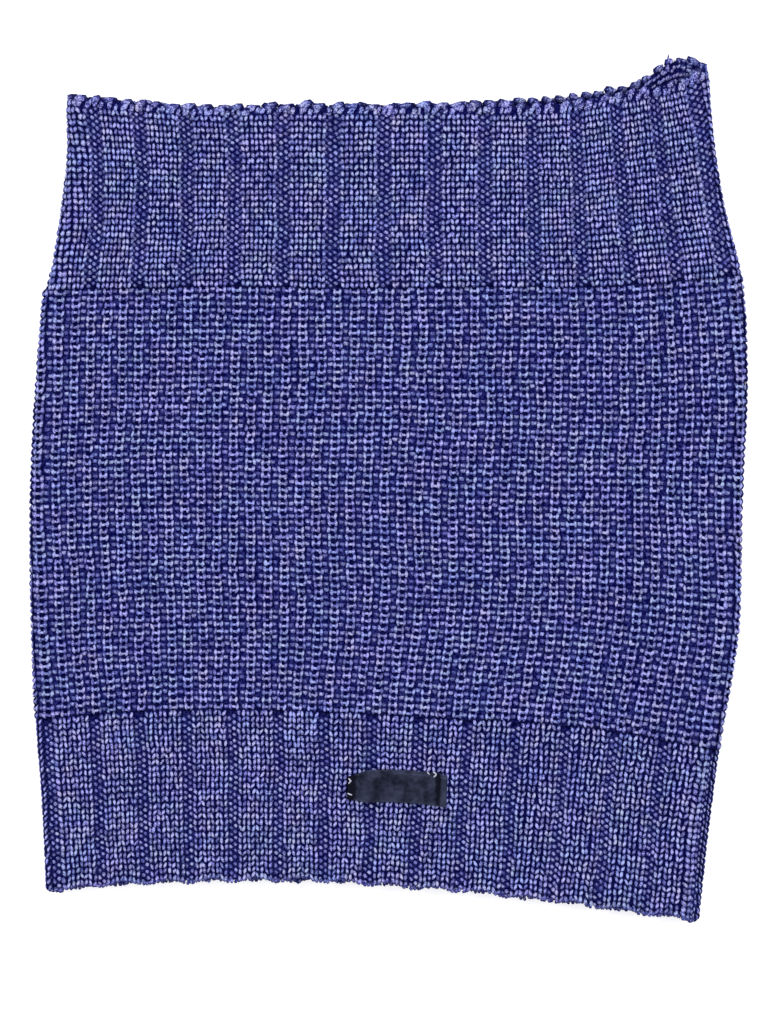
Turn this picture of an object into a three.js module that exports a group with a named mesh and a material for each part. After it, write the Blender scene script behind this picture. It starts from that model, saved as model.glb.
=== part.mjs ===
// A knitted snood (neck tube) lying flat: millimetres, +X to the right, +Y towards the upper edge, +Z up.
import * as THREE from "three";

// The knitting: a wale is one stitch across, a course is one row of stitches
const WALES = 174;
const RIB_WALES = 6;
const LOWER_SEAM = 28;
const UPPER_SEAM = 90;
const COURSES = 120;
const COURSE_HEIGHT = 2.4;

// The fabric is a corrugated wall, whose two faces rise and fall together by the relief of its ribs.
// drawnIn: how far inside the outline a wall lies, so that the body steps out a little at the seams
const BAND_WALL = { thickness: 2.2, relief: 1.6, drawnIn: 0.7 };
const BODY_WALL = { thickness: 2.8, relief: 1.0, drawnIn: 0 };
const SECTION_GAP = 0.3;

// The flattened tube: the hollow inside it, and its rounded folds down both sides
const HOLLOW_HEIGHT = 6;
const FOLD_WALES = 3;
const FOLD_DEPTH = 6.5;

// Half widths in wales: the gutter between two wide ribs, at its floor and out to the shoulders, and
// the flat on top of a rib that goes round a fold
const GUTTER_FLOOR = 0.55;
const GUTTER_MOUTH = 1.25;
const RIB_FLAT = 0.8;

// The outline: how far left and right the tube reaches at some of its courses, and how it lies there.
// front: wales of the front layer, from fold to fold; roll: wales from the left fold to the gutter counted
// as number 0; drift and sway: how far the wales have slid sideways in the middle, and in opposite ways in
// the two halves
const OUTLINE = [
  { course: 0, left: -126.0, right: 115.0, front: 87, roll: 1.8, drift: -2.7, sway: 0 },
  { course: 14, left: -127.5, right: 118.4, front: 87, roll: 1.8, drift: -2.7, sway: 0 },
  { course: 28, left: -129.8, right: 122.6, front: 87, roll: 1.8, drift: -2.7, sway: 0 },
  { course: 44, left: -131.3, right: 129.6, front: 87, roll: 1.6, drift: -2.0, sway: -0.6 },
  { course: 60, left: -131.5, right: 130.7, front: 87, roll: 1.2, drift: -1.2, sway: -1.2 },
  { course: 76, left: -129.7, right: 132.4, front: 87, roll: 0.8, drift: -0.4, sway: -1.6 },
  { course: 90, left: -126.9, right: 130.5, front: 86.8, roll: 0.3, drift: 0.6, sway: -1.9 },
  { course: 100, left: -121.9, right: 124.4, front: 85.4, roll: -0.6, drift: 1.2, sway: -2.8 },
  { course: 110, left: -118.5, right: 120.4, front: 84.6, roll: -1.6, drift: 3.4, sway: -3.5 },
  { course: 120, left: -118.7, right: 118.4, front: 84.5, roll: -2.5, drift: 7.0, sway: -3.9 },
];

// How high up the page four courses run, at six even places from the left fold to the right fold
const COURSE_LINES = [
  { course: 0, y: [-146.0, -142.8, -142.8, -145.4, -150.6, -157.4] },
  { course: LOWER_SEAM, y: [-83.4, -80.2, -80.8, -83.8, -86.8, -94.8] },
  { course: UPPER_SEAM, y: [73.2, 74.0, 74.0, 74.0, 74.4, 78.4] },
  { course: COURSES, y: [144.2, 140.6, 140.6, 141.0, 142.4, 155.2] },
];

// The open mouth at the upper right corner, from a place across the tube to the right fold: the back
// layer reaches past the front one, at even places between the two, and the front one is lifted
const MOUTH = { from: 0.6, peek: [0, 1.2, 2, 2.4, 2.4, 2, 1.7, 4, 0], lift: 2.6, courses: 30 };

// Long shallow waves of the front layer, and a strip near the right fold where the fine rib has drawn
// together and its purl wales lie deeper: its middle and half width in wales, at the body's two ends
const WAVES = { height: 0.35, across: 2.6, along: 1.7 };
const FURROWS = { lower: 72, upper: 76, lowerReach: 3, upperReach: 5.5, depth: 0.9 };

// The woven label: its middle, its size, the flaps folded under its two ends, and how far round it the
// band is searched for the height that it rests at
const LABEL = { x: 3.5, y: -108.6, tilt: -2, width: 36, height: 11.8 };
const LABEL_CLOTH = 0.45;
const LABEL_FLAP = 5;
const LABEL_SLIT = 0.15;
const LABEL_CLEARANCE = 0.3;
const LABEL_SURROUND = 12;

const YARN = { color: 0x4a4d96, roughness: 0.9, metalness: 0 };
const LABEL_SATIN = { color: 0x10131f, roughness: 0.6, metalness: 0 };

const WALL_DEPTH = BAND_WALL.thickness + BAND_WALL.relief;
const MIDDLE_RISE = (HOLLOW_HEIGHT + WALL_DEPTH) / 2;
const MIDDLE_HEIGHT = WALL_DEPTH / 2 + MIDDLE_RISE;

const mix = THREE.MathUtils.lerp;
const smooth = THREE.MathUtils.smoothstep;

// A smooth curve through evenly spaced values, at a place from 0 to 1
function through(values, place) {
  const last = values.length - 1;
  const i = Math.min(Math.floor(place * last), last - 1);
  const t = place * last - i;
  const before = values[i - 1] ?? 2 * values[i] - values[i + 1];
  const after = values[i + 2] ?? 2 * values[i + 1] - values[i];
  const pull = (values[i + 1] - before) / 2;
  const leave = (after - values[i]) / 2;
  const rise = values[i + 1] - values[i];
  return values[i] + t * (pull + t * (3 * rise - 2 * pull - leave + t * (pull + leave - 2 * rise)));
}

// The two rows of a table between which a course lies, and how far it is from the one to the other
function between(table, course) {
  const i = Math.max(1, table.findIndex((row) => row.course >= course));
  const [low, high] = [table[i - 1], table[i]];
  return { low, high, part: (course - low.course) / (high.course - low.course) };
}

// One column of the outline at a course, on a smooth curve through its rows
function outlineAt(column, course) {
  const { low, high, part } = between(OUTLINE, course);
  const i = OUTLINE.indexOf(low);
  const slope = (k) => {
    const [a, b] = [OUTLINE[Math.max(k - 1, 0)], OUTLINE[Math.min(k + 1, OUTLINE.length - 1)]];
    return (b[column] - a[column]) / (b.course - a.course);
  };
  const span = high.course - low.course;
  const [pull, leave] = [slope(i) * span, slope(i + 1) * span];
  const rise = high[column] - low[column];
  const bend = 3 * rise - 2 * pull - leave + part * (pull + leave - 2 * rise);
  return low[column] + part * (pull + part * bend);
}

// A point on a wall: its wale and course, and how far it lies outside the middle of the wall
function onWall(wall, wale, course, outside) {
  const turned = (((wale + outlineAt("roll", course)) % WALES) + WALES) % WALES;
  const frontWales = outlineAt("front", course);
  const layer = turned <= frontWales ? 1 : -1;
  const layerWales = layer > 0 ? frontWales : WALES - frontWales;
  const fromLeft = layer > 0 ? turned : WALES - turned;
  const inFold = Math.min(fromLeft, layerWales - fromLeft, FOLD_WALES) / FOLD_WALES;
  const angle = (inFold * Math.PI) / 2;
  const side = fromLeft * 2 < layerWales ? -1 : 1;

  const left = outlineAt("left", course) + WALL_DEPTH / 2 + wall.drawnIn;
  const right = outlineAt("right", course) - WALL_DEPTH / 2 - wall.drawnIn;
  const f = (fromLeft - FOLD_WALES) / (layerWales - 2 * FOLD_WALES);
  let x = mix(left + FOLD_DEPTH, right - FOLD_DEPTH, f);
  x += outlineAt("drift", course) * Math.sin(Math.PI * f);
  x += outlineAt("sway", course) * Math.sin(2 * Math.PI * f);
  if (inFold < 1) {
    const fold = FOLD_DEPTH * (1 - Math.cos(angle));
    x = side < 0 ? left + fold : right - fold;
  }

  // straight out of the wall, in the plane of the section
  const out = new THREE.Vector2(side * Math.cos(angle) * MIDDLE_RISE, layer * Math.sin(angle) * FOLD_DEPTH);
  out.setLength(outside);

  const place = (x - left) / (right - left);
  const front = (1 + layer * Math.sin(angle)) / 2;
  const { low, high, part } = between(COURSE_LINES, course);
  let y = mix(through(low.y, place), through(high.y, place), part);
  const opening = Math.max(0, (place - MOUTH.from) / (1 - MOUTH.from));
  const nearEdge = smooth(course, COURSES - MOUTH.courses, COURSES);
  y += through(MOUTH.peek, opening) * nearEdge * (1 - front);

  const lifted = Math.sin(Math.PI * Math.min(opening, 1) ** 1.5) * nearEdge * front;
  let z = MIDDLE_HEIGHT + layer * Math.sin(angle) * MIDDLE_RISE + MOUTH.lift * lifted;
  const across = Math.sin(WAVES.across * Math.PI * place);
  const along = Math.cos((WAVES.along * Math.PI * course) / COURSES);
  z += WAVES.height * across * along * front * Math.sin(angle);
  return new THREE.Vector3(x + out.x, y, z + out.y);
}

// How far both faces of the wall stand out at a wale: the wide rib's flat top, the gutter's floor and slopes
function wideRib(wale) {
  const halfRib = RIB_WALES / 2;
  const fromGutter = Math.abs(((((wale + halfRib) % RIB_WALES) + RIB_WALES) % RIB_WALES) - halfRib);
  const slope = (fromGutter - GUTTER_FLOOR) / (GUTTER_MOUTH - GUTTER_FLOOR);
  return BAND_WALL.relief * (THREE.MathUtils.clamp(slope, 0, 1) - 0.5);
}

// The same for the fine rib, one knit wale up and one purl wale down; the drawn strip's furrows are only
// in the outer face
function fineRib(wale, course, face) {
  const knit = Math.cos(Math.PI * (wale - 0.5));
  const along = (course - LOWER_SEAM) / (UPPER_SEAM - LOWER_SEAM);
  const middle = mix(FURROWS.lower, FURROWS.upper, along);
  const reach = mix(FURROWS.lowerReach, FURROWS.upperReach, along);
  const drawn = face > 0 ? 1 - smooth(Math.abs(wale - middle), 0.6 * reach, 1.4 * reach) : 0;
  return (BODY_WALL.relief / 2) * knit - (FURROWS.depth * drawn * (1 - knit)) / 2;
}

// One section of the tube: an open-ended wall, closed along both its rims
function tubeSection(wales, courses, wall, relief) {
  const round = wales.length;
  const rows = courses.length;
  const positions = [];
  for (const face of [0.5, -0.5])
    for (const course of courses)
      for (const wale of wales) {
        const outside = face * wall.thickness + relief(wale, course, face);
        const point = onWall(wall, wale, course, outside);
        positions.push(point.x, point.y, point.z);
      }

  const index = [];
  const quad = (a, b, c, d) => index.push(a, b, c, a, c, d);
  const outer = (row, i) => row * round + (i % round);
  const inner = (row, i) => (rows + row) * round + (i % round);
  for (let i = 0; i < round; i++) {
    for (let row = 0; row + 1 < rows; row++) {
      quad(outer(row, i), outer(row, i + 1), outer(row + 1, i + 1), outer(row + 1, i));
      quad(inner(row, i), inner(row + 1, i), inner(row + 1, i + 1), inner(row, i + 1));
    }
    quad(outer(0, i), inner(0, i), inner(0, i + 1), outer(0, i + 1));
    quad(outer(rows - 1, i), outer(rows - 1, i + 1), inner(rows - 1, i + 1), inner(rows - 1, i));
  }
  const geometry = new THREE.BufferGeometry();
  geometry.setAttribute("position", new THREE.Float32BufferAttribute(positions, 3));
  geometry.setIndex(index);
  geometry.computeVertexNormals();
  return geometry;
}

// Evenly spaced courses from one to another, pulled in by half a gap at the seams
function coursesFrom(first, last, steps) {
  const pulled = SECTION_GAP / 2 / COURSE_HEIGHT;
  const start = first === 0 ? first : first + pulled;
  const end = last === COURSES ? last : last - pulled;
  return Array.from({ length: steps + 1 }, (_, i) => mix(start, end, i / steps));
}

// Corners of the wide ribs all round the tube, with more points where a rib goes round a fold
function bandWales() {
  const wales = [];
  for (let gutter = 0; gutter < WALES; gutter += RIB_WALES) {
    wales.push(gutter - GUTTER_MOUTH, gutter - GUTTER_FLOOR, gutter + GUTTER_FLOOR, gutter + GUTTER_MOUTH);
    const ribMiddle = gutter + RIB_WALES / 2;
    const nearFold = [0, WALES / 2, WALES].some((fold) => Math.abs(ribMiddle - fold) < RIB_WALES);
    if (nearFold) wales.push(ribMiddle - RIB_FLAT, ribMiddle + RIB_FLAT);
  }
  return wales;
}

const bodyWales = Array.from({ length: WALES }, (_, i) => i + 0.5);

// The label: a strip of satin whose ends are folded under, as a section drawn along it and given its height
function labelGeometry() {
  const half = LABEL.width / 2;
  const bend = LABEL_CLOTH + LABEL_SLIT / 2;
  const flapEnd = half - LABEL_FLAP;
  const outline = new THREE.Shape();
  outline.moveTo(-flapEnd, 0);
  outline.lineTo(-half + bend, 0);
  outline.absarc(-half + bend, bend, bend, -Math.PI / 2, -1.5 * Math.PI, true);
  outline.lineTo(half - bend, 2 * bend);
  outline.absarc(half - bend, bend, bend, Math.PI / 2, -Math.PI / 2, true);
  outline.lineTo(flapEnd, 0);
  outline.lineTo(flapEnd, LABEL_CLOTH);
  outline.lineTo(half - bend, LABEL_CLOTH);
  outline.absarc(half - bend, bend, LABEL_SLIT / 2, -Math.PI / 2, Math.PI / 2, false);
  outline.lineTo(-half + bend, LABEL_CLOTH + LABEL_SLIT);
  outline.absarc(-half + bend, bend, LABEL_SLIT / 2, Math.PI / 2, 1.5 * Math.PI, false);
  outline.lineTo(-flapEnd, LABEL_CLOTH);
  outline.closePath();
  const geometry = new THREE.ExtrudeGeometry(outline, {
    depth: LABEL.height,
    bevelEnabled: false,
    curveSegments: 4,
  });
  geometry.translate(0, 0, -LABEL.height / 2);
  geometry.rotateX(Math.PI / 2);
  return geometry;
}

// The highest point of a geometry inside a circle on the page
function topWithin(geometry, x, y, radius) {
  const points = geometry.getAttribute("position");
  let top = -Infinity;
  for (let i = 0; i < points.count; i++)
    if (Math.hypot(points.getX(i) - x, points.getY(i) - y) < radius) top = Math.max(top, points.getZ(i));
  return top;
}

function named(name, geometry, finish) {
  const mesh = new THREE.Mesh(geometry, new THREE.MeshStandardMaterial(finish));
  mesh.name = name;
  return mesh;
}

const lower = tubeSection(bandWales(), coursesFrom(0, LOWER_SEAM, 4), BAND_WALL, wideRib);
const middle = tubeSection(bodyWales, coursesFrom(LOWER_SEAM, UPPER_SEAM, 6), BODY_WALL, fineRib);
const upper = tubeSection(bandWales(), coursesFrom(UPPER_SEAM, COURSES, 5), BAND_WALL, wideRib);

const label = named("woven_label", labelGeometry(), LABEL_SATIN);
const labelSeat = topWithin(lower, LABEL.x, LABEL.y, LABEL.width / 2 + LABEL_SURROUND);
label.position.set(LABEL.x, LABEL.y, labelSeat + LABEL_CLEARANCE);
label.rotation.z = THREE.MathUtils.degToRad(LABEL.tilt);

const snood = new THREE.Group();
snood.add(
  named("lower_rib_band", lower, YARN),
  named("knit_body", middle, YARN),
  named("upper_rib_band", upper, YARN),
  label,
);

// the origin is on the surface that the snood lies on, under the middle of its box
const box = new THREE.Box3().setFromObject(snood);
const centre = box.getCenter(new THREE.Vector3());
snood.position.set(-centre.x, -centre.y, -box.min.z);

export default snood;
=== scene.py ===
import math

import bmesh
import bpy
import numpy as np
from mathutils import Matrix, Vector


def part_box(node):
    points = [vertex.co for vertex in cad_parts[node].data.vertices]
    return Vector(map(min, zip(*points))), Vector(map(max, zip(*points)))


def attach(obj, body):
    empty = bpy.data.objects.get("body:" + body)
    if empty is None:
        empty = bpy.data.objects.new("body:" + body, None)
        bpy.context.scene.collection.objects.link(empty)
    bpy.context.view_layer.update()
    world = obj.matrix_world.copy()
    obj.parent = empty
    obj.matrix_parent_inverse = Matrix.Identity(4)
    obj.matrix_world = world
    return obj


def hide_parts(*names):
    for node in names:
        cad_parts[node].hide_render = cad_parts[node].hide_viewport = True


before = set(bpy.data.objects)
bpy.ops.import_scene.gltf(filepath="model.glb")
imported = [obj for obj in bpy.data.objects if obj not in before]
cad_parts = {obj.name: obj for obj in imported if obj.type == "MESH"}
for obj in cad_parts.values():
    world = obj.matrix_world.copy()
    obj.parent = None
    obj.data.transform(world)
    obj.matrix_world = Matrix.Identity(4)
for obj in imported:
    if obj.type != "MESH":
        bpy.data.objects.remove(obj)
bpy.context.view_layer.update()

# The ground of the tube, in three parts. The snood is machine-knitted in one piece of wool, and this is its
# inner cloth, painted dark as the shade between the stitches that stand on it: two bands in wide rib and the
# body in fine rib between them.
# It lies flat, front layer on back layer, with a rounded fold down each side.
WALES = 174
COURSES = 120
LOWER_SEAM = 28
UPPER_SEAM = 90
RIB_WALES = 6
RIBS = WALES // RIB_WALES
STEPS_PER_RIB = 8
GUTTER_FLOOR = 0.55
GUTTER_MOUTH = 1.25

HOLLOW_HEIGHT = 0.006
FOLD_WALES = 3
FOLD_DEPTH = 0.0065
COURSE_HEIGHT = 0.0024

# how far under the stitches the ground lies, and the courses between which it runs, short of the two edges
GROUND_DEPTH = 0.0010
GROUND_START = 0.35
GROUND_END = 119.6

# how far left and right the tube reaches at some courses, the wales of the front layer from fold to fold,
# the wales from the left fold to gutter number 0, and how far the wales have slid sideways in the middle,
# and in opposite ways in the two halves
LIE = {
    "course": [0, 14, 28, 44, 60, 76, 90, 100, 110, 120],
    "left": [-0.1260, -0.1275, -0.1298, -0.1313, -0.1315, -0.1297, -0.1269, -0.1219, -0.1185, -0.1187],
    "right": [0.1150, 0.1184, 0.1226, 0.1296, 0.1307, 0.1324, 0.1305, 0.1244, 0.1204, 0.1184],
    "front": [87, 87, 87, 87, 87, 87, 86.8, 85.2, 84.2, 84.1],
    "roll": [1.8, 1.8, 1.8, 1.6, 1.2, 0.8, 0.3, -0.6, -1.6, -2.5],
    "drift": [-0.0027, -0.0027, -0.0027, -0.0020, -0.0012, -0.0004, 0.0006, 0.0012, 0.0034, 0.0070],
    "sway": [0, 0, 0, -0.0006, -0.0012, -0.0016, -0.0019, -0.0028, -0.0035, -0.0039],
}

# how high up the page four courses run, at six even places from the left fold to the right fold
COURSE_LINES = {
    0: [-0.1460, -0.1428, -0.1428, -0.1454, -0.1506, -0.1574],
    LOWER_SEAM: [-0.0834, -0.0802, -0.0808, -0.0838, -0.0868, -0.0948],
    UPPER_SEAM: [0.0732, 0.0740, 0.0740, 0.0740, 0.0744, 0.0784],
    COURSES: [0.1442, 0.1406, 0.1406, 0.1410, 0.1424, 0.1552],
}

# the mouth at the upper right corner: where it begins across the tube, how far the back layer's edge
# stands up and the front one's hangs down at even places from there to the fold, how high it is lifted, how
# far its highest place is moved towards the fold, and over how many courses it opens
MOUTH_FROM = 0.6
MOUTH_PEEK = [0, 0.0012, 0.0020, 0.0024, 0.0024, 0.0020, 0.0024, 0.0060, 0.0026]
MOUTH_DIP = [0, 0, 0, 0, 0.0002, 0.0008, 0.0017, 0.0029, 0.0022]
MOUTH_LIFT = 0.0026
MOUTH_SKEW = 1.5
MOUTH_COURSES = 30

# how far the start edge hangs down at each gutter, and how many courses feel it
SCALLOP = 0.0008
SCALLOP_COURSES = 5

# long shallow waves of the front layer, and the strip near the right fold where the fine rib has drawn
# together: its middle and half width in wales, at the body's two ends, and how softly it ends
WAVE_HEIGHT = 0.00035
WAVES_ACROSS = 2.6
WAVES_ALONG = 1.7
DRAWN_MIDDLE = (72, 76)
DRAWN_REACH = (3, 5.5)
DRAWN_SOFTNESS = 0.4
DRAWN_DEPTH = 0.0003

BAND_WALL = {"thickness": 0.0022, "relief": 0.0016, "drawn_in": 0.0007}
BODY_WALL = {"thickness": 0.0028, "relief": 0.0010, "drawn_in": 0.0}
WALL_DEPTH = BAND_WALL["thickness"] + BAND_WALL["relief"]
MIDDLE_RISE = (HOLLOW_HEIGHT + WALL_DEPTH) / 2
MIDDLE_HEIGHT = WALL_DEPTH / 2 + MIDDLE_RISE

# the label's middle on the page, which tells how far the page is shifted in the frame
LABEL_PLACE = Vector((0.0035, -0.1086))
label_low, label_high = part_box("woven_label")
PAGE_SHIFT = (label_low + label_high).xy / 2 - LABEL_PLACE


def steps(x, start, end):
    """0 before start, 1 after end and a smooth rise between them."""
    t = np.clip((x - start) / (end - start), 0, 1)
    return t * t * (3 - 2 * t)


def hermite(low, high, pull, leave, t):
    """A curve from low to high as t goes from 0 to 1, with its slopes at the two ends."""
    rise = high - low
    return low + t * (pull + t * (3 * rise - 2 * pull - leave + t * (pull + leave - 2 * rise)))


def through(values, place):
    """A smooth curve through evenly spaced values, at places from 0 to 1."""
    values = np.asarray(values)
    padded = np.concatenate([[2 * values[0] - values[1]], values, [2 * values[-1] - values[-2]]])
    at = np.clip(place, 0, 1) * (len(values) - 1)
    i = np.minimum(np.floor(at).astype(int), len(values) - 2)
    before, low, high, after = (padded[i + k] for k in range(4))
    return hermite(low, high, (high - before) / 2, (after - low) / 2, at - i)


def lie(column, course):
    """One column of the table at some courses, on a smooth curve through its rows."""
    at = np.array(LIE["course"], float)
    value = np.array(LIE[column], float)
    k = np.arange(len(at))
    below, above = np.maximum(k - 1, 0), np.minimum(k + 1, len(at) - 1)
    slope = (value[above] - value[below]) / (at[above] - at[below])
    i = np.clip(np.searchsorted(at, course) - 1, 0, len(at) - 2)
    span = at[i + 1] - at[i]
    t = (course - at[i]) / span
    return hermite(value[i], value[i + 1], slope[i] * span, slope[i + 1] * span, t)


def course_line(place, course):
    """How high up the page a course runs, straight from one of the drawn lines to the next."""
    known = list(COURSE_LINES)
    rows = np.stack([through(COURSE_LINES[c], place) for c in known])
    i = np.clip(np.searchsorted(known, course) - 1, 0, len(known) - 2)
    start, end = np.take(known, i), np.take(known, i + 1)
    low, high = (np.take_along_axis(rows, j[None], 0)[0] for j in (i, i + 1))
    return low + (high - low) * (course - start) / (end - start)


def on_wall(wall, wale, course, outside):
    """Points of the tube, from their wales and courses and how far outside the wall's middle they lie."""
    wale, course, outside = np.broadcast_arrays(wale, course, outside)
    beyond = course - np.clip(course, 0, COURSES)
    course = course - beyond
    turned = (wale + lie("roll", course)) % WALES
    front_wales = lie("front", course)
    layer = np.where(turned <= front_wales, 1, -1)
    layer_wales = np.where(layer > 0, front_wales, WALES - front_wales)
    from_left = np.where(layer > 0, turned, WALES - turned)
    in_fold = np.minimum(np.minimum(from_left, layer_wales - from_left), FOLD_WALES) / FOLD_WALES
    angle = in_fold * math.pi / 2
    side = np.where(from_left * 2 < layer_wales, -1, 1)

    left = lie("left", course) + WALL_DEPTH / 2 + wall["drawn_in"]
    right = lie("right", course) - WALL_DEPTH / 2 - wall["drawn_in"]
    f = (from_left - FOLD_WALES) / (layer_wales - 2 * FOLD_WALES)
    x = left + FOLD_DEPTH + f * (right - left - 2 * FOLD_DEPTH)
    x = x + lie("drift", course) * np.sin(math.pi * f)
    x = x + lie("sway", course) * np.sin(2 * math.pi * f)
    fold = FOLD_DEPTH * (1 - np.cos(angle))
    x = np.where(in_fold < 1, np.where(side < 0, left + fold, right - fold), x)

    out_x = side * np.cos(angle) * MIDDLE_RISE
    out_z = layer * np.sin(angle) * FOLD_DEPTH
    reach = outside / np.hypot(out_x, out_z)

    place = (x - left) / (right - left)
    front = (1 + layer * np.sin(angle)) / 2
    opening = np.clip((place - MOUTH_FROM) / (1 - MOUTH_FROM), 0, 1)
    near_edge = steps(course, COURSES - MOUTH_COURSES, COURSES)
    y = course_line(place, course) + beyond * COURSE_HEIGHT
    y = y + through(MOUTH_PEEK, opening) * near_edge * (1 - front)
    y = y - through(MOUTH_DIP, opening) * near_edge * front
    y = y - SCALLOP * np.cos(2 * math.pi * wale / RIB_WALES) * steps(-course, -SCALLOP_COURSES, 0)

    lifted = np.sin(math.pi * opening**MOUTH_SKEW) * near_edge * front
    wave = np.sin(WAVES_ACROSS * math.pi * place) * np.cos(WAVES_ALONG * math.pi * course / COURSES)
    z = MIDDLE_HEIGHT + layer * np.sin(angle) * MIDDLE_RISE + MOUTH_LIFT * lifted
    z = z + WAVE_HEIGHT * wave * front * np.sin(angle)
    z = np.maximum(z + out_z * reach, 0)
    return np.stack([x + out_x * reach + PAGE_SHIFT.x, y + PAGE_SHIFT.y, z], -1)


def wide_rib(wale, course):
    """How far the wall's faces stand out in wide rib, at any course: flat ribs with gutters between them."""
    half = RIB_WALES / 2
    from_gutter = np.abs((wale + half) % RIB_WALES - half)
    slope = (from_gutter - GUTTER_FLOOR) / (GUTTER_MOUTH - GUTTER_FLOOR)
    return BAND_WALL["relief"] * (np.clip(slope, 0, 1) - 0.5)


def fine_rib(wale, course):
    """The same in fine rib: one knit wale up and one purl wale down, deeper in the drawn strip."""
    knit = np.cos(math.pi * (wale - 0.5))
    return BODY_WALL["relief"] / 2 * knit - DRAWN_DEPTH * drawn(wale, course) * (1 - knit) / 2


def drawn(wale, course):
    """1 in the strip where the fine rib has drawn together, 0 outside it."""
    along = np.clip((course - LOWER_SEAM) / (UPPER_SEAM - LOWER_SEAM), 0, 1)
    middle = DRAWN_MIDDLE[0] + along * (DRAWN_MIDDLE[1] - DRAWN_MIDDLE[0])
    reach = DRAWN_REACH[0] + along * (DRAWN_REACH[1] - DRAWN_REACH[0])
    start, end = (1 - DRAWN_SOFTNESS) * reach, (1 + DRAWN_SOFTNESS) * reach
    return 1 - steps(np.abs(wale % WALES - middle), start, end)


def mesh_of(name, bm):
    """The finished mesh of some built faces."""
    mesh = bpy.data.meshes.new(name)
    bm.to_mesh(mesh)
    bm.free()
    return mesh


def placed(name, data):
    """An object in the scene, which shows a mesh, or is a camera or a lamp."""
    thing = bpy.data.objects.new(name, data)
    bpy.context.scene.collection.objects.link(thing)
    return thing


def ground(name, wall, relief, first, last, around, rows):
    """A tube of cloth between two courses: a grid whose rows go up the outer face and down the inner one."""
    bm = bmesh.new()
    bm.loops.layers.uv.new("chart")
    profile = 2 * rows + 2
    bmesh.ops.create_grid(bm, x_segments=around, y_segments=profile, size=0.5, calc_uvs=True)
    grid = np.array([v.co for v in bm.verts]) + 0.5
    wale = grid[:, 0] * WALES
    step = np.round(grid[:, 1] * profile) % profile
    outer = step <= rows
    course = first + (last - first) * np.where(outer, step, profile - 1 - step) / rows
    course = np.clip(course, GROUND_START, GROUND_END)
    face = np.where(outer, wall["thickness"] / 2 - GROUND_DEPTH, -wall["thickness"] / 2)
    places = on_wall(wall, wale, course, face + relief(wale, course))
    for v, place in zip(bm.verts, places):
        v.co = place
    bmesh.ops.remove_doubles(bm, verts=bm.verts, dist=1e-6)
    bmesh.ops.recalc_face_normals(bm, faces=bm.faces)
    mesh = mesh_of(name, bm)
    mesh.shade_smooth()
    return placed(name, mesh)


rib_steps = RIBS * STEPS_PER_RIB
lower_ground = ground("lower_ground", BAND_WALL, wide_rib, 0, LOWER_SEAM, rib_steps, rows=14)
body_ground = ground("body_ground", BODY_WALL, fine_rib, LOWER_SEAM, UPPER_SEAM, WALES, rows=31)
upper_ground = ground("upper_ground", BAND_WALL, wide_rib, UPPER_SEAM, COURSES, rib_steps, rows=15)


class Value:
    """The output of a shader node. Arithmetic on it adds Math nodes to its material."""

    def __init__(self, socket):
        self.socket = socket

    def node(self, kind, settings, inputs, output=0):
        """Any other node: its type, its settings, which are set first, and what its sockets get."""
        tree = self.socket.id_data
        made = tree.nodes.new("ShaderNode" + kind)
        for name, value in settings.items():
            if name != "stops":
                setattr(made, name, value)
        for k, (at, colour) in enumerate(settings.get("stops", {}).items()):
            stop = made.color_ramp.elements[k] if k < 2 else made.color_ramp.elements.new(at)
            stop.position = at
            stop.color = colour
        for name, value in inputs.items():
            if isinstance(value, Value):
                tree.links.new(value.socket, made.inputs[name])
            else:
                made.inputs[name].default_value = value
        return Value(made.outputs[output])

    def beside(self, output):
        """Another output of the node that this value comes from."""
        return Value(self.socket.node.outputs[output])

    def math(self, operation, *values):
        return self.node("Math", {"operation": operation}, dict(enumerate(values)))

    def __add__(self, other):
        return self.math("ADD", self, other)

    def __radd__(self, other):
        return self.math("ADD", other, self)

    def __sub__(self, other):
        return self.math("SUBTRACT", self, other)

    def __rsub__(self, other):
        return self.math("SUBTRACT", other, self)

    def __mul__(self, other):
        return self.math("MULTIPLY", self, other)

    def __rmul__(self, other):
        return self.math("MULTIPLY", other, self)

    def __pow__(self, other):
        return self.math("POWER", self, other)

    def between(self, low, high):
        """0 at low, 1 at high, and held there."""
        sockets = {"Value": self, "From Min": low, "From Max": high}
        return self.node("MapRange", {"clamp": True}, sockets)

    def blend(self, low, high):
        """A colour from low to high, as this value goes from 0 to 1."""
        settings = {"data_type": "RGBA", "clamp_factor": True}
        return self.node("Mix", settings, {0: self, 6: low, 7: high}, 2)

    def ramp(self, stops):
        """A colour from a table of places from 0 to 1 and their colours."""
        return self.node("ValToRGB", {"stops": stops}, {"Fac": self})


def new_finish(name, roughness):
    """A material with its Principled shader, and its object coordinates to start from."""
    material = bpy.data.materials.new(name)
    material.use_nodes = True
    shader = material.node_tree.nodes["Principled BSDF"]
    shader.inputs["Roughness"].default_value = roughness
    place = Value(material.node_tree.nodes.new("ShaderNodeTexCoord").outputs["Object"])
    return material, shader, place


def feed(shader, socket, value):
    """Links a value to a socket of the shader."""
    shader.id_data.links.new(value.socket, shader.inputs[socket])


def attribute(place, name):
    """A number that the mesh holds for each of its points."""
    return place.node("Attribute", {"attribute_name": name}, {}, "Fac")


def noise(place, scale, detail=2.0, seed=0.0):
    """Mottling of that many spots to a metre, from 0 to 1. A seed moves it, so that two are never alike."""
    moved = place.node("Mapping", {}, {"Vector": place, "Location": (seed, seed, seed)})
    return place.node("TexNoise", {}, {"Vector": moved, "Scale": scale, "Detail": detail})


# painted shade: the colours of the ground between the stitches, where it is deepest and where it is palest
GROUND_DEEP = (0.0004, 0.0010, 0.060, 1)
GROUND_PALE = (0.0400, 0.0440, 0.240, 1)
GROUND_FILLED = 0.2


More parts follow.
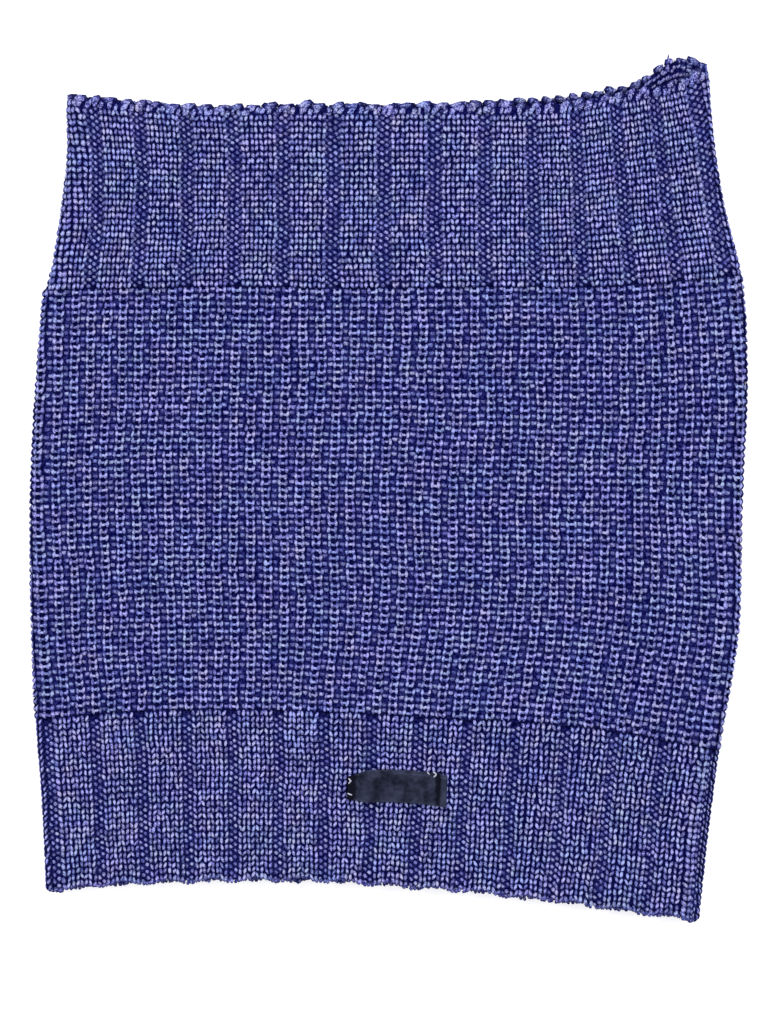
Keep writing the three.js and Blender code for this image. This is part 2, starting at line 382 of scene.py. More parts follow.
def painted_ground_shade(name, repeat, purl_wale, reach, filled):
    """The wool between the stitches, painted deep blue as the shade that falls there, mottled and palest in
    the purl wales. One of these comes in each repeat of wales, and reach and filled tell how wide and how
    pale it is."""
    material, shader, place = new_finish(name, 0.95)
    chart = place.node("UVMap", {"uv_map": "chart"}, {})
    split = chart.node("SeparateXYZ", {}, {0: chart})
    turn = split * (WALES / repeat * 2 * math.pi) - purl_wale / repeat * 2 * math.pi
    purl = turn.math("COSINE", turn).between(reach, 1.0) * filled
    tone = noise(place, 1300).between(0.44, 0.60) * (purl + GROUND_FILLED)
    feed(shader, "Base Color", tone.blend(GROUND_DEEP, GROUND_PALE))
    shader.inputs["Specular IOR Level"].default_value = 0.05
    return material


rib_ground = painted_ground_shade("rib_ground", repeat=RIB_WALES, purl_wale=0.0, reach=0.3, filled=0.3)
body_ground_shade = painted_ground_shade("body_ground", repeat=2, purl_wale=1.5, reach=-0.4, filled=0.4)
for piece, node, slot, finish in (
    (lower_ground, "lower_rib_band", "rib_yarn", rib_ground),
    (body_ground, "knit_body", "body_yarn", body_ground_shade),
    (upper_ground, "upper_rib_band", "rib_yarn", rib_ground),
):
    piece.data.materials.append(finish)
    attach(piece, "root")
    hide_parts(node)

# The stitches of the bands in wide rib: four knit wales and two purl wales in turn. Each knit stitch is a
# small V of soft two-ply yarn, and each purl stitch shows as a short bump deep in the gutter. The gutters of
# the lower band lie nearly shut, most of all at its right.
UPPER_PITCH = 1.104
LOWER_PITCH = 1.17
SQUEEZED_PITCH = 1.25

# where the purl bumps and the arms beside them lie, in wales from a gutter's middle and in courses
PURL_PLACE = 0.31
PURL_STAGGER = 0.4
ARM_PLACE = 0.85
ARM_RISE = 0.5

YARN_RADIUS = 0.00080
SHADED_DEPTH = 0.0022
FULLNESS = 1.2
WALE_WIDTH = 0.00292
LEG_RINGS = [-0.58, 0, 0.58]
BAR_RINGS = [-0.55, 0.55]
BAR_TAPER = 0.2


def strand(places, across, along, top, radius, lit_below=False):
    """One strand of yarn as offsets from its stitch: across in wales, along in courses and depths in metres.
    It is a ball of four sides, flat side up, drawn out along a path. across, along, top (its upper side) and
    radius are functions of the place on it, from -1 to 1, and places are those of its rings. Its crown tells
    how much light is painted into its colour, which falls with depth, on its lower side too unless it is lit
    below."""
    bm = bmesh.new()
    bmesh.ops.create_uvsphere(bm, u_segments=4, v_segments=len(places) + 1, radius=1.0)
    ball = np.array([v.co for v in bm.verts])
    faces = [[v.index for v in f.verts] for f in bm.faces]
    bm.free()
    even = np.linspace(-1, 1, len(places) + 2)
    at = np.interp(1 - 2 * np.arccos(np.clip(ball[:, 2], -1, 1)) / math.pi, even, [-1, *places, 1])
    tip = np.hypot(ball[:, 0], ball[:, 1]) < 0.01
    turn = np.arctan2(ball[:, 1], ball[:, 0]) + math.pi / 4
    nudge = 0.02
    run_x = (across(at + nudge) - across(at - nudge)) * WALE_WIDTH
    run_y = (along(at + nudge) - along(at - nudge)) * COURSE_HEIGHT
    run = np.hypot(run_x, run_y)
    wide = radius(at) * ~tip * np.sin(turn) * FULLNESS
    outside = top(at) - radius(at) * (1 - ~tip * np.cos(turn) * FULLNESS)

    crown = 1 + (top(at) if lit_below else outside) / SHADED_DEPTH

    corners = np.concatenate(faces)
    size = np.array([len(f) for f in faces])
    start = np.cumsum(size) - size
    chart_turn = (turn[corners] / (2 * math.pi)) % 1
    for s, n in zip(start, size):
        part = chart_turn[s : s + n]
        rim = ~tip[corners[s : s + n]]
        part[rim & (part < part[rim].max() - 0.5)] += 1
        part[~rim] = part[rim].mean()
    return {
        "wale": across(at) + wide * run_y / run / WALE_WIDTH,
        "course": along(at) - wide * run_x / run / COURSE_HEIGHT,
        "path": across(at),
        "outside": outside,
        "crown": np.clip(crown, 0, 1),
        "corners": corners,
        "start": start,
        "size": size,
        "turn": chart_turn,
        "run": (at[corners] + 1) / 2,
    }


def leg(side, reach, bow, slant, length, girth, flare, dip, sink):
    """One leg of a knit stitch. side is -1 for the left leg; reach, bow and slant are in wales and length in
    courses; dip, how deep the middle lies, sink, how deep the tips lie, and girth are in yarn radii; a flare
    below 0 makes the tips thinner than the middle."""

    def across(at):
        return side * (reach + bow * at * at - slant * at)

    def along(at):
        return 0.5 + length / 2 * at

    def top(at):
        return -YARN_RADIUS * (dip * (1 - at * at) + sink * at * at)

    def radius(at):
        return YARN_RADIUS * girth * (1 + flare * at * at)

    return strand(LEG_RINGS, across, along, top, radius)


def bar(width, rise, slant, girth, dip, sink):
    """A strand that lies across its wale: half its width in wales, its bow and slant in courses."""

    def across(at):
        return width * at

    def along(at):
        return 0.5 + rise * (1 - at * at) + slant * at

    def top(at):
        return -YARN_RADIUS * (dip * (1 - at * at) + sink * at * at)

    def radius(at):
        return YARN_RADIUS * girth * (1 - BAR_TAPER * at * at)

    return strand(BAR_RINGS, across, along, top, radius)


rng = np.random.default_rng(7)

# the seeded numbers between which the knitting drifts, and how many courses below the start edge they begin
DRIFT_CELLS = 60
DRIFT_GRID = rng.normal(size=(4, DRIFT_CELLS, DRIFT_CELLS))
DRIFT_START = 10


def drifted(layer, wale, course, span):
    """A smooth seeded unevenness of the knitting, which changes over about that many stitches."""
    u = (wale % WALES) / span
    v = (course + DRIFT_START) / span
    i, j = np.floor(u).astype(int), np.floor(v).astype(int)
    s, t = steps(u - i, 0, 1), steps(v - j, 0, 1)
    grid = DRIFT_GRID[layer]
    around = max(int(round(WALES / span)), 1)
    i, i_next = i % around % DRIFT_CELLS, (i + 1) % around % DRIFT_CELLS
    j, j_next = j % DRIFT_CELLS, (j + 1) % DRIFT_CELLS
    low = grid[i, j] * (1 - s) + grid[i_next, j] * s
    high = grid[i, j_next] * (1 - s) + grid[i_next, j_next] * s
    return low * (1 - t) + high * t


# how uneven the knitting is: each stitch's place, size, lean, turn with the lean, and height, and how far and
# over how many stitches the wales and the courses drift
JITTER = 0.05
SIZE_SPREAD = 0.05
LEAN = 0.10
LEAN_TURN = 1.5
HEIGHT_JITTER = 0.00005
WALE_DRIFT = 0.10
WALE_SPAN = 5.8
COURSE_DRIFT = 0.12
COURSE_SPAN = 7.25


def lay_strands(groups, wall, relief, face=1, loose=1):
    """The strands of many stitches as arrays of one mesh, on the outer face of a wall or on its inner one,
    which is -1. A group is a strand, the wales and courses of its stitches, and how deep they are sunk. loose
    tells how many times as uneven as the ribs they are."""
    parts = {"co": [], "tone": [], "crown": [], "corners": [], "size": [], "turn": [], "run": [], "cell": []}
    vertices = strands = 0
    for unit, wales, courses, sunk in groups:
        n = len(wales)
        v = len(unit["wale"])
        uneven = rng.normal(size=(3, n, 1))
        scale = 1 + loose * SIZE_SPREAD * rng.normal(size=(n, 1))
        lean = LEAN * rng.normal(size=(n, 1))
        wale_drift = WALE_DRIFT * drifted(0, wales, courses, WALE_SPAN)
        course_drift = COURSE_DRIFT * drifted(1, wales, courses, COURSE_SPAN)
        wale_shift = loose * JITTER * uneven[0] + wale_drift[:, None]
        course_shift = loose * JITTER * uneven[1] + course_drift[:, None]
        course_shift = course_shift - lean * LEAN_TURN * (unit["path"] - unit["path"].mean())
        wale = wales[:, None] + unit["wale"] * scale + wale_shift + lean * (unit["course"] - 0.5)
        course = courses[:, None] + unit["course"] + course_shift
        path = wales[:, None] + unit["path"] + wale_shift
        above = wall["thickness"] / 2 + unit["outside"] * scale - sunk + HEIGHT_JITTER * uneven[2]
        parts["co"].append(on_wall(wall, wale, course, face * above + relief(path, course)).reshape(-1, 3))
        parts["tone"].append(np.repeat(rng.random(n), v))
        parts["crown"].append(np.tile(unit["crown"], n))
        count = len(unit["corners"])
        order = np.arange(count)
        if face < 0:
            size = np.repeat(unit["size"], unit["size"])
            start = np.repeat(unit["start"], unit["size"])
            order = 2 * start + size - 1 - order
        parts["corners"].append((unit["corners"][order] + vertices + v * np.arange(n)[:, None]).ravel())
        parts["turn"].append(np.tile(unit["turn"][order], n))
        parts["run"].append(np.tile(unit["run"][order], n))
        parts["cell"].append(np.repeat(strands + np.arange(n), count))
        parts["size"].append(np.tile(unit["size"], n))
        vertices += n * v
        strands += n
    return {name: np.concatenate(values) for name, values in parts.items()}


TURN_SPAN = 1.25
BAKE_MARGIN = 0.1


def strand_piece(name, laid, finish):
    """The mesh of many strands. Its map OFBake gives each strand a small square of its own, and its map yarn
    tells how far round and how far along its strand a point is, with TURN_SPAN turns to its width."""
    mesh = bpy.data.meshes.new(name)
    mesh.vertices.add(len(laid["co"]))
    mesh.vertices.foreach_set("co", laid["co"].astype(np.float32).ravel())
    mesh.loops.add(len(laid["corners"]))
    mesh.loops.foreach_set("vertex_index", laid["corners"].astype(np.int32))
    mesh.polygons.add(len(laid["size"]))
    mesh.polygons.foreach_set("loop_start", (np.cumsum(laid["size"]) - laid["size"]).astype(np.int32))
    mesh.update(calc_edges=True)
    for key in ("tone", "crown"):
        mesh.attributes.new(key, "FLOAT", "POINT").data.foreach_set("value", laid[key].astype(np.float32))
    cells = math.ceil(math.sqrt(laid["cell"][-1] + 1))
    within = np.stack([laid["turn"] / TURN_SPAN, laid["run"]], -1)
    cell = np.stack([laid["cell"] % cells, laid["cell"] // cells], -1)
    baked = (cell + BAKE_MARGIN + (1 - 2 * BAKE_MARGIN) * within) / cells
    for key, chart in (("yarn", within), ("OFBake", baked)):
        mesh.uv_layers.new(name=key).uv.foreach_set("vector", chart.astype(np.float32).ravel())
    mesh.shade_smooth()
    mesh.materials.append(finish)
    piece = placed(name, mesh)
    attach(piece, "root")


# the yarn's colour from where no light reaches it to where it is lit best, which paints its light and shade,
# and how much each thing adds
YARN_TONES = {
    0.0: (0.0015, 0.0025, 0.070, 1),
    0.3: (0.028, 0.031, 0.205, 1),
    0.55: (0.088, 0.094, 0.325, 1),
    0.78: (0.205, 0.215, 0.535, 1),
    1.0: (0.455, 0.470, 0.880, 1),
}
YARN_LIGHT = {"tone": 0.36, "fluff": 1.2, "blotchy": 0.9, "rounded": 0.8, "tapered": 0.75, "ply": 0.05}
UNLIT = 0.15
LIT_BEST = 1.15
EVEN_TONE = 0.18
ROUND_LEVEL = 0.85
PLY_TURNS = 1.5
VIOLET_TINT = (1.07, 0.98, 1.00, 1)
TEAL_TINT = (0.89, 1.02, 0.98, 1)
DUSTY_TINT = (1.05, 1.05, 0.90, 1)
VIVID_TINT = (0.94, 0.94, 1.08, 1)


def yarn_finish(name, shade, around_it=False, mottled=1.0):
    """Soft two-ply wool yarn with its light and shade painted in: pale lavender where it stands out, deep
    blue at its flanks, and on its lower side too unless it is finished all around. shade paints it paler, or
    darker below 0, and mottled makes it more uneven."""
    material, shader, place = new_finish(name, 0.9)
    chart = place.node("UVMap", {"uv_map": "yarn"}, {})
    split = chart.node("SeparateXYZ", {}, {0: chart})
    along = split.beside("Y")
    around = split * (TURN_SPAN * 2 * math.pi)
    # painted shade: darker at the flanks of each strand and towards its tips, and palest on top
    rounded = around.math("COSINE", around)
    rounded = (rounded.math("ABSOLUTE", rounded) if around_it else rounded) - ROUND_LEVEL
    tapered = (along * 2 - 1) ** 2
    twist = around * 2 + along * (PLY_TURNS * 2 * math.pi)
    ply = twist.math("SINE", twist)
    fluff = noise(place, 2500) - 0.5
    blotchy = noise(place, 1200, seed=5.0) - 0.5
    mottling = (fluff * YARN_LIGHT["fluff"] + blotchy * YARN_LIGHT["blotchy"]) * mottled
    uneven = attribute(place, "tone") * YARN_LIGHT["tone"] + mottling + (shade - EVEN_TONE)
    shape = rounded * YARN_LIGHT["rounded"] - tapered * YARN_LIGHT["tapered"] + ply * YARN_LIGHT["ply"]
    lit = attribute(place, "crown") + uneven + shape
    hue = noise(place, 120, seed=3.0).between(0.35, 0.65).blend(TEAL_TINT, VIOLET_TINT)
    depth = noise(place, 170, seed=8.0).between(0.35, 0.65).blend(DUSTY_TINT, VIVID_TINT)
    tinted = {"data_type": "RGBA", "blend_type": "MULTIPLY"}
    colour = lit.between(UNLIT, LIT_BEST).ramp(YARN_TONES)
    for tint in (hue, depth):
        colour = colour.node("Mix", tinted, {0: 1.0, 6: colour, 7: tint}, 2)
    feed(shader, "Base Color", colour)
    raised = {"Height": ply * 0.3 + fluff, "Strength": 0.5, "Distance": 0.0002}
    feed(shader, "Normal", place.node("Bump", {}, raised))
    shader.inputs["Specular IOR Level"].default_value = 0.15
    return material


violet_yarn = yarn_finish("violet_yarn", shade=0.03)
OPEN_LEG = {"reach": 0.30, "bow": 0.0, "slant": -0.16, "length": 1.30, "girth": 0.84}
TIGHT_LEG = {"reach": 0.276, "bow": 0.0, "slant": -0.11, "length": 1.20, "girth": 0.88}
open_legs = [leg(side, flare=-0.65, dip=0.0, sink=0.9, **OPEN_LEG) for side in (-1, 1)]
tight_legs = [leg(side, flare=-0.70, dip=0.0, sink=0.9, **TIGHT_LEG) for side in (-1, 1)]


def gutter_strands(bump_dip, arm_dip):
    """The purl stitch's bump and the two arms beside it, with how deep their middles lie, in yarn radii."""
    bump = bar(width=0.31, rise=0.0, slant=-0.26, girth=0.94, dip=bump_dip, sink=bump_dip + 0.6)
    arm = {"width": 0.42, "rise": 0.0, "girth": 0.95, "dip": arm_dip, "sink": arm_dip + 0.4}
    return bump, bar(slant=-0.34, **arm), bar(slant=0.34, **arm)


shut_gutter = gutter_strands(bump_dip=0.15, arm_dip=1.1)
open_gutter = gutter_strands(bump_dip=0.15, arm_dip=0.6)


def squeezed(ribs):
    """1 in the ribs at the right fold of the lower band, which lie close together, and 0 in the others."""
    return steps(ribs, 7, 10) * (1 - steps(ribs, 17, 20))


def band_stitches(legs, gutter, pitch, ribs, first, last, purl_gap):
    """The groups of knit and purl stitches of some wide ribs, with one column of purls half a course up. The
    knit wales of a rib lie its pitch apart, and the purls end some courses below the last one, where the
    gutter closes to a small dark hole."""
    rows = math.floor(last - first)
    courses = first + np.arange(rows) * (last - first) / rows
    centre = RIB_WALES * ribs
    knit = (centre[:, None] + RIB_WALES / 2 + pitch[ribs, None] * np.array([-1.5, -0.5, 0.5, 1.5])).ravel()
    (knit_wales, knit_courses), (gutters, gutter_courses) = (
        [g.ravel().astype(float) for g in np.meshgrid(wales, courses)] for wales in (knit, centre)
    )
    groups = [(unit, knit_wales, knit_courses, 0.0) for unit in legs]
    kept = gutter_courses < last - purl_gap
    gutters, gutter_courses = gutters[kept], gutter_courses[kept]
    bump, left_arm, right_arm = gutter
    groups.append((bump, gutters - PURL_PLACE, gutter_courses, 0.0))
    groups.append((bump, gutters + PURL_PLACE, gutter_courses + PURL_STAGGER, 0.0))
    groups.append((left_arm, gutters - ARM_PLACE, gutter_courses + ARM_RISE, 0.0))
    groups.append((right_arm, gutters + ARM_PLACE, gutter_courses + (PURL_STAGGER + ARM_RISE), 0.0))
    return groups


EDGE_COURSES = 1.6
FRONT_RIBS = 15
all_ribs = np.arange(RIBS)
lower_pitch = LOWER_PITCH + (SQUEEZED_PITCH - LOWER_PITCH) * squeezed(all_ribs)
upper_pitch = np.full(RIBS, UPPER_PITCH)
for band, legs, gutter, pitch, first, last, purl_gap in (
    ("lower", open_legs, shut_gutter, lower_pitch, 0, LOWER_SEAM, 1.2),
    ("upper", tight_legs, open_gutter, upper_pitch, UPPER_SEAM, COURSES - EDGE_COURSES, 0),
):
    for layer, ribs in (("front", all_ribs[:FRONT_RIBS]), ("back", all_ribs[FRONT_RIBS:])):
        groups = band_stitches(legs, gutter, pitch, ribs, first, last, purl_gap)
        laid = lay_strands(groups, BAND_WALL, wide_rib)
        strand_piece(f"{band}_rib_{layer}", laid, violet_yarn)

# The stitches of the body in fine rib, one knit wale and one purl wale in turn. The knit stitches are
# stretched wide, so that a dark hole shows between the legs of each one, over the bar that joins them.
FRONT_PAIRS = 44
PURL_RISE = 0.04
BODY_LEG = {"reach": 0.38, "bow": 0.06, "slant": -0.06, "length": 1.35, "girth": 0.88}
body_legs = [leg(side, flare=-0.9, dip=0.0, sink=1.45, **BODY_LEG) for side in (-1, 1)]
body_bar = bar(width=0.44, rise=-0.08, slant=0.0, girth=0.66, dip=0.30, sink=0.2)
body_purl = bar(width=0.48, rise=0.10, slant=0.0, girth=0.96, dip=0.20, sink=1.0)


def body_grid(wales):
    """The wale and course of each stitch of the body, in some of its wales."""
    courses = np.arange(LOWER_SEAM, UPPER_SEAM)
    return [g.ravel().astype(float) for g in np.meshgrid(wales, courses)]


all_pairs = np.arange(WALES // 2)
for layer, pairs in (("front", all_pairs[:FRONT_PAIRS]), ("back", all_pairs[FRONT_PAIRS:])):
    wales, courses = body_grid(2 * pairs + 0.5)
    groups = [(unit, wales, courses, 0.0) for unit in (*body_legs, body_bar)]
    strand_piece(f"body_knit_{layer}", lay_strands(groups, BODY_WALL, fine_rib), violet_yarn)
wales, courses = body_grid(2 * all_pairs + 1.5)
laid = lay_strands([(body_purl, wales, courses + PURL_RISE, 0.0)], BODY_WALL, fine_rib, loose=1.8)
strand_piece("body_purl", laid, violet_yarn)

# The start edge at the bottom: a firm row of small slanted strands of yarn, two to each wale, that turns
# round the rim of the tube. It hangs down a little at the gutters.
RIM_SIDES = (-0.25, 0.25)
RIM_RISE = 0.22
RIM_STRAND = {"reach": (0.14, 0.42), "rings": 0.55, "radius": 0.00085, "top": -0.0002, "tips": 0.0003}


def half_rib(wale, course):
    """The wide rib's relief where an edge has drawn it half flat."""
    return wide_rib(wale, course) / 2


def edge_strand(middle, reach, rings, radius, top, tips=0.0, tilt=0.0, taper=0.2):
    """A straight strand of an edge. middle, and reach from there to its end, are in wales and courses. radius
    and top are in metres, and so are tips and tilt, how much lower both its tips, or its end alone, lie."""
    return strand(
        [-rings, rings],
        lambda at: middle[0] + reach[0] * at,
        lambda at: middle[1] + reach[1] * at,
        lambda at: top - tips * at * at - tilt * at,
        lambda at: radius * (1 - taper * at * at),
        lit_below=True,
    )


all_wales = np.arange(WALES).astype(float)
first_course = np.zeros(WALES)
# a copy of the yarn painted darker, as shade on the rim
rim_yarn = yarn_finish("rim_yarn", shade=-0.24, around_it=True, mottled=1.5)
groups = [(edge_strand((side, RIM_RISE), **RIM_STRAND), all_wales, first_course, 0.0) for side in RIM_SIDES]
strand_piece("start_edge", lay_strands(groups, BAND_WALL, half_rib, loose=1.6), rim_yarn)

# The loose edge at the top: a linked row in which each fat loop of yarn takes up two wales, leans over to the
# right and ends in a tip behind the next one, on small necks that come up from the last course. At the mouth
# a short end of the yarn stands up behind it.
LOOP_REACH = 1.0
LOOP_RINGS = [-0.6, 0.05, 0.65]
LOOP_RADIUS = 0.00140
LOOP_TUCKED = 0.0014
LOOP_SHIFT = 0.6
NECK_SHIFTS = (-0.75, -0.1, 0.55)
NECK = {"middle": (0.1, -1.05), "reach": (0.2, 0.75), "radius": 0.00085, "top": 0.0001, "tips": 0.0005}
THREAD_END = {"middle": (0, 0.6), "reach": (0.2, 0.9), "radius": 0.00062, "top": -0.0013, "tilt": 0.0002}
THREAD_END_WALE = 92.8


def loop_strand():
    """One loop, which rises to its middle, is fattest past it and sinks away towards its end."""

    def along(at):
        return -0.22 + 0.32 * at - 0.36 * at * at

    def top(at):
        return -0.0001 - 0.0005 * at * at - LOOP_TUCKED * steps(at, 0, 1)

    def radius(at):
        return LOOP_RADIUS * (1 - 0.2 * at * at + 0.15 * at)

    return strand(LOOP_RINGS, lambda at: LOOP_REACH * at, along, top, radius, lit_below=True)


loop_wales = 2 * all_pairs + LOOP_SHIFT
neck_wales = np.concatenate([loop_wales + shift for shift in NECK_SHIFTS])
groups = []
for unit, wales in (
    (loop_strand(), loop_wales),
    (edge_strand(rings=0.5, **NECK), neck_wales),
    (edge_strand(rings=0.5, taper=0.3, **THREAD_END), np.array([THREAD_END_WALE])),
):
    groups.append((unit, wales, np.full(len(wales), float(COURSES)), 0.0))
# a copy of the yarn painted a little darker, as the shade where the loops turn over the edge
loop_yarn = yarn_finish("loop_yarn", shade=-0.10, around_it=True, mottled=2.2)
strand_piece("loop_edge", lay_strands(groups, BAND_WALL, half_rib, loose=3), loop_yarn)

# The wrong side of the knitting, as far in as it shows at the two mouths: short curved cross strands in rows,
# of which every other one hangs half a course lower.
INNER_RISE = 0.0009
LOWER_INNER_ROWS = (1, 5)
UPPER_INNER_ROWS = (COURSES - 6, COURSES)
INNER_BAR = {"width": 0.40, "slant": 0.0, "girth": 1.10, "dip": 0.0, "sink": 0.8}
inner_rows = np.concatenate([np.arange(*LOWER_INNER_ROWS), np.arange(*UPPER_INNER_ROWS)])
wales, courses = (g.ravel().astype(float) for g in np.meshgrid(all_wales, inner_rows))
groups = [
    (bar(rise=0.25, **INNER_BAR), wales, courses, -INNER_RISE),
    (bar(rise=-0.25, **INNER_BAR), wales + 0.5, courses - 0.5, -INNER_RISE),
]
# a copy of the yarn painted a little paler, as painted light on the wrong side
inner_yarn = yarn_finish("inner_yarn", shade=0.04, mottled=1.6)
laid = lay_strands(groups, BAND_WALL, wide_rib, face=-1, loose=3)
strand_piece("inner_stitches", laid, inner_yarn)

# The label: a strip of dark woven satin, whose ends are folded under, on top of the lower band. It lies in
# shallow waves over the ribs.
LABEL_TILT = math.radians(-2)
LABEL_WIDTH = 0.036
LABEL_HEIGHT = 0.0118
LABEL_FLAP = 0.005
LABEL_CLOTH = 0.00045
LABEL_BEND = 0.0003
LABEL_SEAT = -0.0001

# how it sags into the gutters below it, arches, narrows at its left end, and is creased and rippled
LABEL_SAG = 0.00035
SAG_REACH = 0.0035
LABEL_GUTTERS = (-0.0093, 0.0090)
LABEL_ARCH = 0.0013
ARCH_LEVEL = 0.4
LABEL_PINCH = 0.28
PINCH_FROM = 0.55
LABEL_CREASE = 0.0150
CREASE_DEPTH = 0.0005
CREASE_REACH = 0.0006
RIPPLE_HEIGHT = 0.00020
RIPPLE_ALONG = 620
RIPPLE_SLANT = 300
RIPPLE_UP = 260

label_centre = (label_low + label_high) / 2


def on_label(u, v, above):
    """A point of the label, from its place along the unfolded strip and up it, in metres from its middle. The
    strip is pulled narrow at its left end, arched, and creased near its right end."""
    straight = LABEL_WIDTH / 2 - LABEL_BEND
    beyond = np.maximum(np.abs(u) - straight, 0)
    angle = np.minimum(beyond / LABEL_BEND, math.pi)
    under = np.maximum(beyond - math.pi * LABEL_BEND, 0)
    x = np.sign(u) * (np.minimum(np.abs(u), straight) + (LABEL_BEND + above) * np.sin(angle) - under)
    z = (LABEL_BEND + above) * np.cos(angle)
    end = x / (LABEL_WIDTH / 2)
    sag = sum(np.exp(-(((x - at) / SAG_REACH) ** 2)) for at in LABEL_GUTTERS)
    crease = np.exp(-(((x - LABEL_CREASE) / CREASE_REACH) ** 2))
    ripple = np.sin(x * RIPPLE_ALONG + v * RIPPLE_SLANT) * np.cos(v * RIPPLE_UP)
    z = z - LABEL_SAG * sag - CREASE_DEPTH * crease + RIPPLE_HEIGHT * ripple
    y = v * (1 - LABEL_PINCH * steps(-end, PINCH_FROM, 1.0)) + LABEL_ARCH * (ARCH_LEVEL - end * end)
    c, s = math.cos(LABEL_TILT), math.sin(LABEL_TILT)
    place = np.stack([c * x - s * y, s * x + c * y, z + LABEL_SEAT], -1)
    return place + np.array(label_centre)


bm = bmesh.new()
bm.loops.layers.uv.new("cloth")
bmesh.ops.create_grid(bm, x_segments=96, y_segments=20, size=0.5, calc_uvs=True)
grid = np.array([v.co for v in bm.verts])
strip = LABEL_WIDTH - 2 * LABEL_BEND + 2 * math.pi * LABEL_BEND + 2 * LABEL_FLAP
for v, place in zip(bm.verts, on_label(grid[:, 0] * strip, grid[:, 1] * LABEL_HEIGHT, 0.0)):
    v.co = place
label_mesh = mesh_of("satin_label", bm)
label_mesh.shade_smooth()
satin_label = placed("satin_label", label_mesh)
thicken = satin_label.modifiers.new("cloth thickness", "SOLIDIFY")
thicken.thickness = LABEL_CLOTH
thicken.offset = 0.0

SATIN_DEEP = (0.0022, 0.0032, 0.0100, 1)
SATIN_PALE = (0.0560, 0.0660, 0.1250, 1)
# how much each thing makes it paler or darker
SATIN_LIGHT = {"blotchy": 0.27, "cloudy": 0.36, "selvedge": 0.22, "glint": 0.3, "end": 0.28, "threads": 0.06}
SATIN_SHADE = {"end": 0.8, "crease": 0.6}
WARP_PITCH = 0.00035
WEFT_PITCH = 0.00028
SELVEDGE = (0.44, 0.48)
GLINT_UP = 0.90
GLINT_REACH = (0.05, 0.01)
GLINT_ALONG = (-0.006, 0.002)
PALE_RIGHT_END = (0.0156, 0.0162)
DARK_LEFT_END = (-0.0148, -0.0170)
DARK_CREASE = (0.0016, 0.0001)


def satin_finish():
    """Woven satin: fine threads, blotchy and cloudy mottling that paints its sheen and the shade of its
    puckers, a paler selvedge, a painted glint near its upper edge, and painted shade where it is folded and
    creased.
    """
    material, shader, place = new_finish("label_satin", 0.42)
    chart = place.node("UVMap", {"uv_map": "cloth"}, {})
    split = chart.node("SeparateXYZ", {}, {0: chart})
    up = split.beside("Y")
    along = (split - 0.5) * strip
    warp = along.math("SINE", along * (2 * math.pi / WARP_PITCH))
    weft = up.math("SINE", up * (LABEL_HEIGHT / WEFT_PITCH * 2 * math.pi))
    # painted sheen and pucker shade: blotchy and cloudy mottling of the satin
    blotchy = noise(place, 700, detail=4.0).between(0.30, 0.72) * SATIN_LIGHT["blotchy"]
    cloudy = noise(place, 190, seed=4.0).between(0.40, 0.62) * SATIN_LIGHT["cloudy"]
    selvedge = up.math("ABSOLUTE", up - 0.5).between(*SELVEDGE) * SATIN_LIGHT["selvedge"]
    glint = up.math("ABSOLUTE", up - GLINT_UP).between(*GLINT_REACH) * along.between(*GLINT_ALONG)
    right_end = along.between(*PALE_RIGHT_END) * SATIN_LIGHT["end"]
    left_end = along.between(*DARK_LEFT_END) * SATIN_SHADE["end"]
    crease = along.math("ABSOLUTE", along - LABEL_CREASE).between(*DARK_CREASE) * SATIN_SHADE["crease"]
    tone = blotchy + cloudy + selvedge + glint * SATIN_LIGHT["glint"] + right_end - left_end - crease
    tone = tone + (warp + weft) * SATIN_LIGHT["threads"]
    feed(shader, "Base Color", tone.between(0.0, 1.0).blend(SATIN_DEEP, SATIN_PALE))
    raised = {"Height": warp * weft, "Strength": 0.35, "Distance": 0.00006}
    feed(shader, "Normal", place.node("Bump", {}, raised))
    shader.inputs["Specular IOR Level"].default_value = 0.05
    return material


satin_label.data.materials.append(satin_finish())
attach(satin_label, "root")
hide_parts("woven_label")

# The label's stitches: a few short ones of pale cotton thread, sewn through its corners and edge, which hold
# its two ends to the knitting.
THREAD_RADIUS = 0.00028
LABEL_STITCHES = {
    "x": [-0.0173, -0.0173, -0.0172, 0.0112, 0.0136, 0.0137],
    "y": [0.0040, 0.0029, -0.0032, 0.0056, 0.0060, 0.0050],
    "length": [0.0017, 0.0017, 0.0020, 0.0015, 0.0019, 0.0017],
    "turn": [-48, 50, -22, -50, -35, 50],
}
bm = bmesh.new()
for x, y, length, turn in zip(*LABEL_STITCHES.values()):
    middle = Vector(on_label(np.array(x), np.array(y), LABEL_CLOTH)) + Vector((0, 0, THREAD_RADIUS / 2))
    matrix = Matrix.Translation(middle) @ Matrix.Rotation(math.radians(turn), 4, "Z")
    matrix = matrix @ Matrix.Diagonal((length / 2, THREAD_RADIUS, THREAD_RADIUS, 1))
    bmesh.ops.create_uvsphere(bm, u_segments=10, v_segments=8, radius=1.0, matrix=matrix)
thread_mesh = mesh_of("label_stitches", bm)
thread_mesh.shade_smooth()
label_stitches = placed("label_stitches", thread_mesh)
COTTON_SHADED = (0.30, 0.30, 0.45, 1)
COTTON_PALE = (0.72, 0.72, 0.80, 1)
cotton, cotton_shader, cotton_place = new_finish("pale_cotton", 0.7)
cotton_tone = noise(cotton_place, 3000).between(0.3, 0.7)
feed(cotton_shader, "Base Color", cotton_tone.blend(COTTON_SHADED, COTTON_PALE))
thread_mesh.materials.append(cotton)
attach(label_stitches, "root")

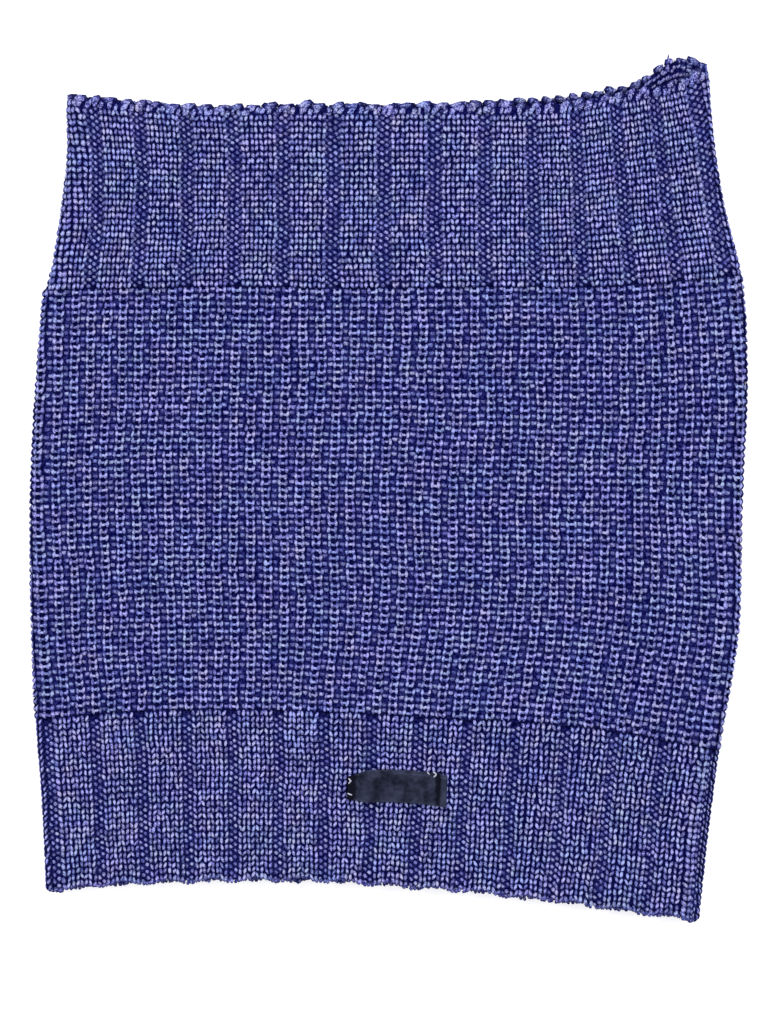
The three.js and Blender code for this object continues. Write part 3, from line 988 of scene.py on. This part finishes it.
# The stage: the camera straight above, so that the image holds the same stretch of the page as it does in
# the photo, a pale floor, and soft light from two large lamps and the world around.
PIXEL = 0.000366
PHOTO_MIDDLE = (387.5, 490.0)
IMAGE = (768, 1019)
CAMERA_HEIGHT = 2.6
SENSOR_HEIGHT = 24.0
half_height = IMAGE[1] / 2 * PIXEL
camera_data = bpy.data.cameras.new("camera")
camera_data.sensor_fit = "VERTICAL"
camera_data.sensor_height = SENSOR_HEIGHT
camera_data.lens = SENSOR_HEIGHT * (CAMERA_HEIGHT - MIDDLE_HEIGHT) / (2 * half_height)
camera_data.clip_end = 10.0
camera = placed("camera", camera_data)
aim_x = (IMAGE[0] / 2 - PHOTO_MIDDLE[0]) * PIXEL + PAGE_SHIFT.x
aim_y = (PHOTO_MIDDLE[1] - IMAGE[1] / 2) * PIXEL + PAGE_SHIFT.y
camera.location = (aim_x, aim_y, CAMERA_HEIGHT)
bpy.context.scene.camera = camera

WHITE = (1, 1, 1, 1)
FLOOR_WHITE = (0.9, 0.9, 0.9, 1)
# the floor also glows a little, though it is no lamp, which washes out the shadows on it
FLOOR_GLOW = 0.5
SKY_GLOW = 0.7
bm = bmesh.new()
bmesh.ops.create_grid(bm, x_segments=1, y_segments=1, size=1.5)
floor_mesh = mesh_of("floor", bm)
floor = placed("floor", floor_mesh)
floor_finish, floor_shader, _ = new_finish("floor_paint", 0.9)
floor_shader.inputs["Base Color"].default_value = FLOOR_WHITE
floor_shader.inputs["Emission Color"].default_value = WHITE
floor_shader.inputs["Emission Strength"].default_value = FLOOR_GLOW
floor_mesh.materials.append(floor_finish)


def lamp(name, place, size, power):
    """A large square lamp that faces the snood."""
    data = bpy.data.lights.new(name, "AREA")
    data.shape = "SQUARE"
    data.size = size
    data.energy = power
    light = placed(name, data)
    light.location = place
    light.rotation_euler = (-Vector(place)).to_track_quat("-Z", "Y").to_euler()


lamp("softbox_left", place=(-1.2, 0.9, 1.8), size=1.2, power=20)
lamp("softbox_right", place=(1.2, 0.2, 1.8), size=1.2, power=14)
world = bpy.data.worlds.new("studio")
world.use_nodes = True
world.node_tree.nodes["Background"].inputs["Color"].default_value = WHITE
world.node_tree.nodes["Background"].inputs["Strength"].default_value = SKY_GLOW
bpy.context.scene.world = world
bpy.context.scene.view_settings.view_transform = "Standard"
